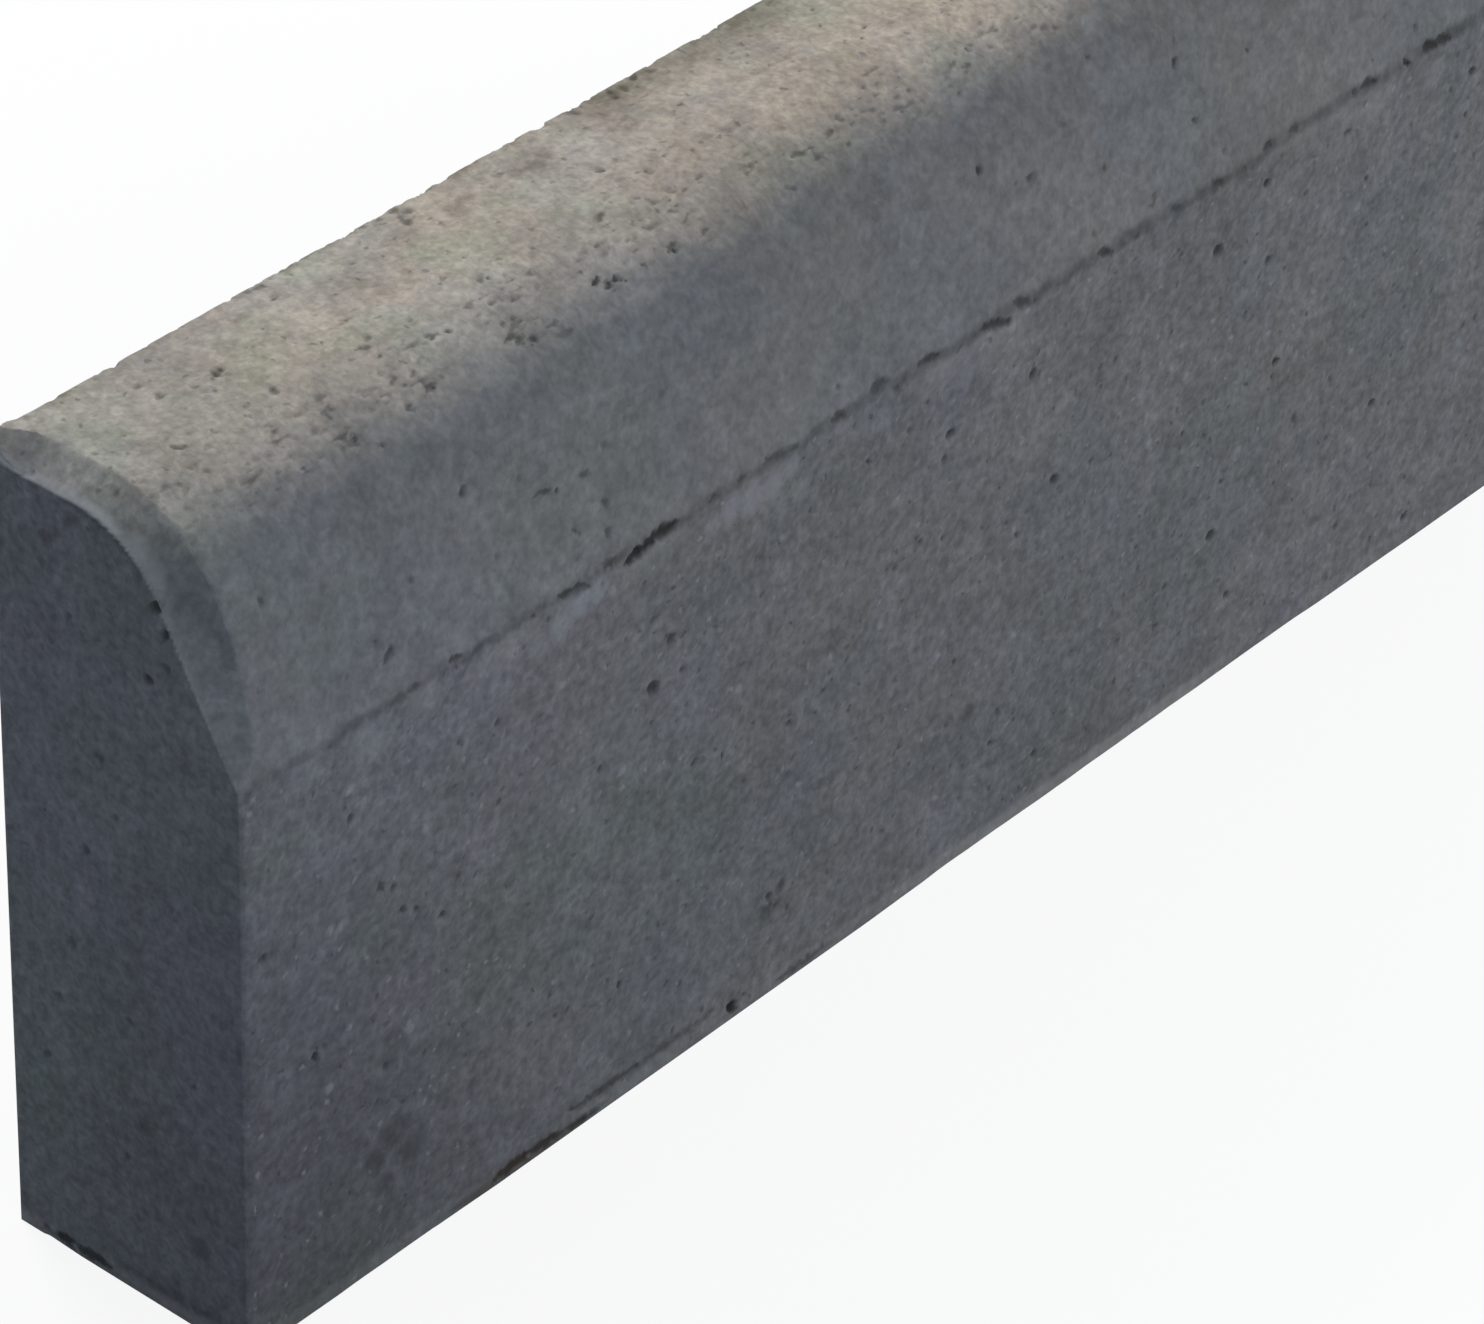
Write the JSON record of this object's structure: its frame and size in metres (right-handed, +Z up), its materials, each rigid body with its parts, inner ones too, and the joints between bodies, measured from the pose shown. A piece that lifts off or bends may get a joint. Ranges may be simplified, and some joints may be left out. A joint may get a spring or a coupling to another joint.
{
  "type": "concrete kerb stone",
  "caption": "Straight concrete kerb stone with a rounded nose along the front, a level crown, plain bed and walls, and a bevel round the nose at each end.",
  "frame": {"origin": "middle of the bed face, on the level floor", "axes": "+X along the kerb, -Y towards the rounded front, +Y towards the plain back, +Z up"},
  "size_m": [1, 0.1, 0.3],
  "materials": {
    "concrete": "pressed dark grey concrete, matt, with small pits and a fine grain; paler and smoother on the crown"
  },
  "bodies": {
    "root": {"kerb_stone": "concrete"}
  },
  "joints": []
}
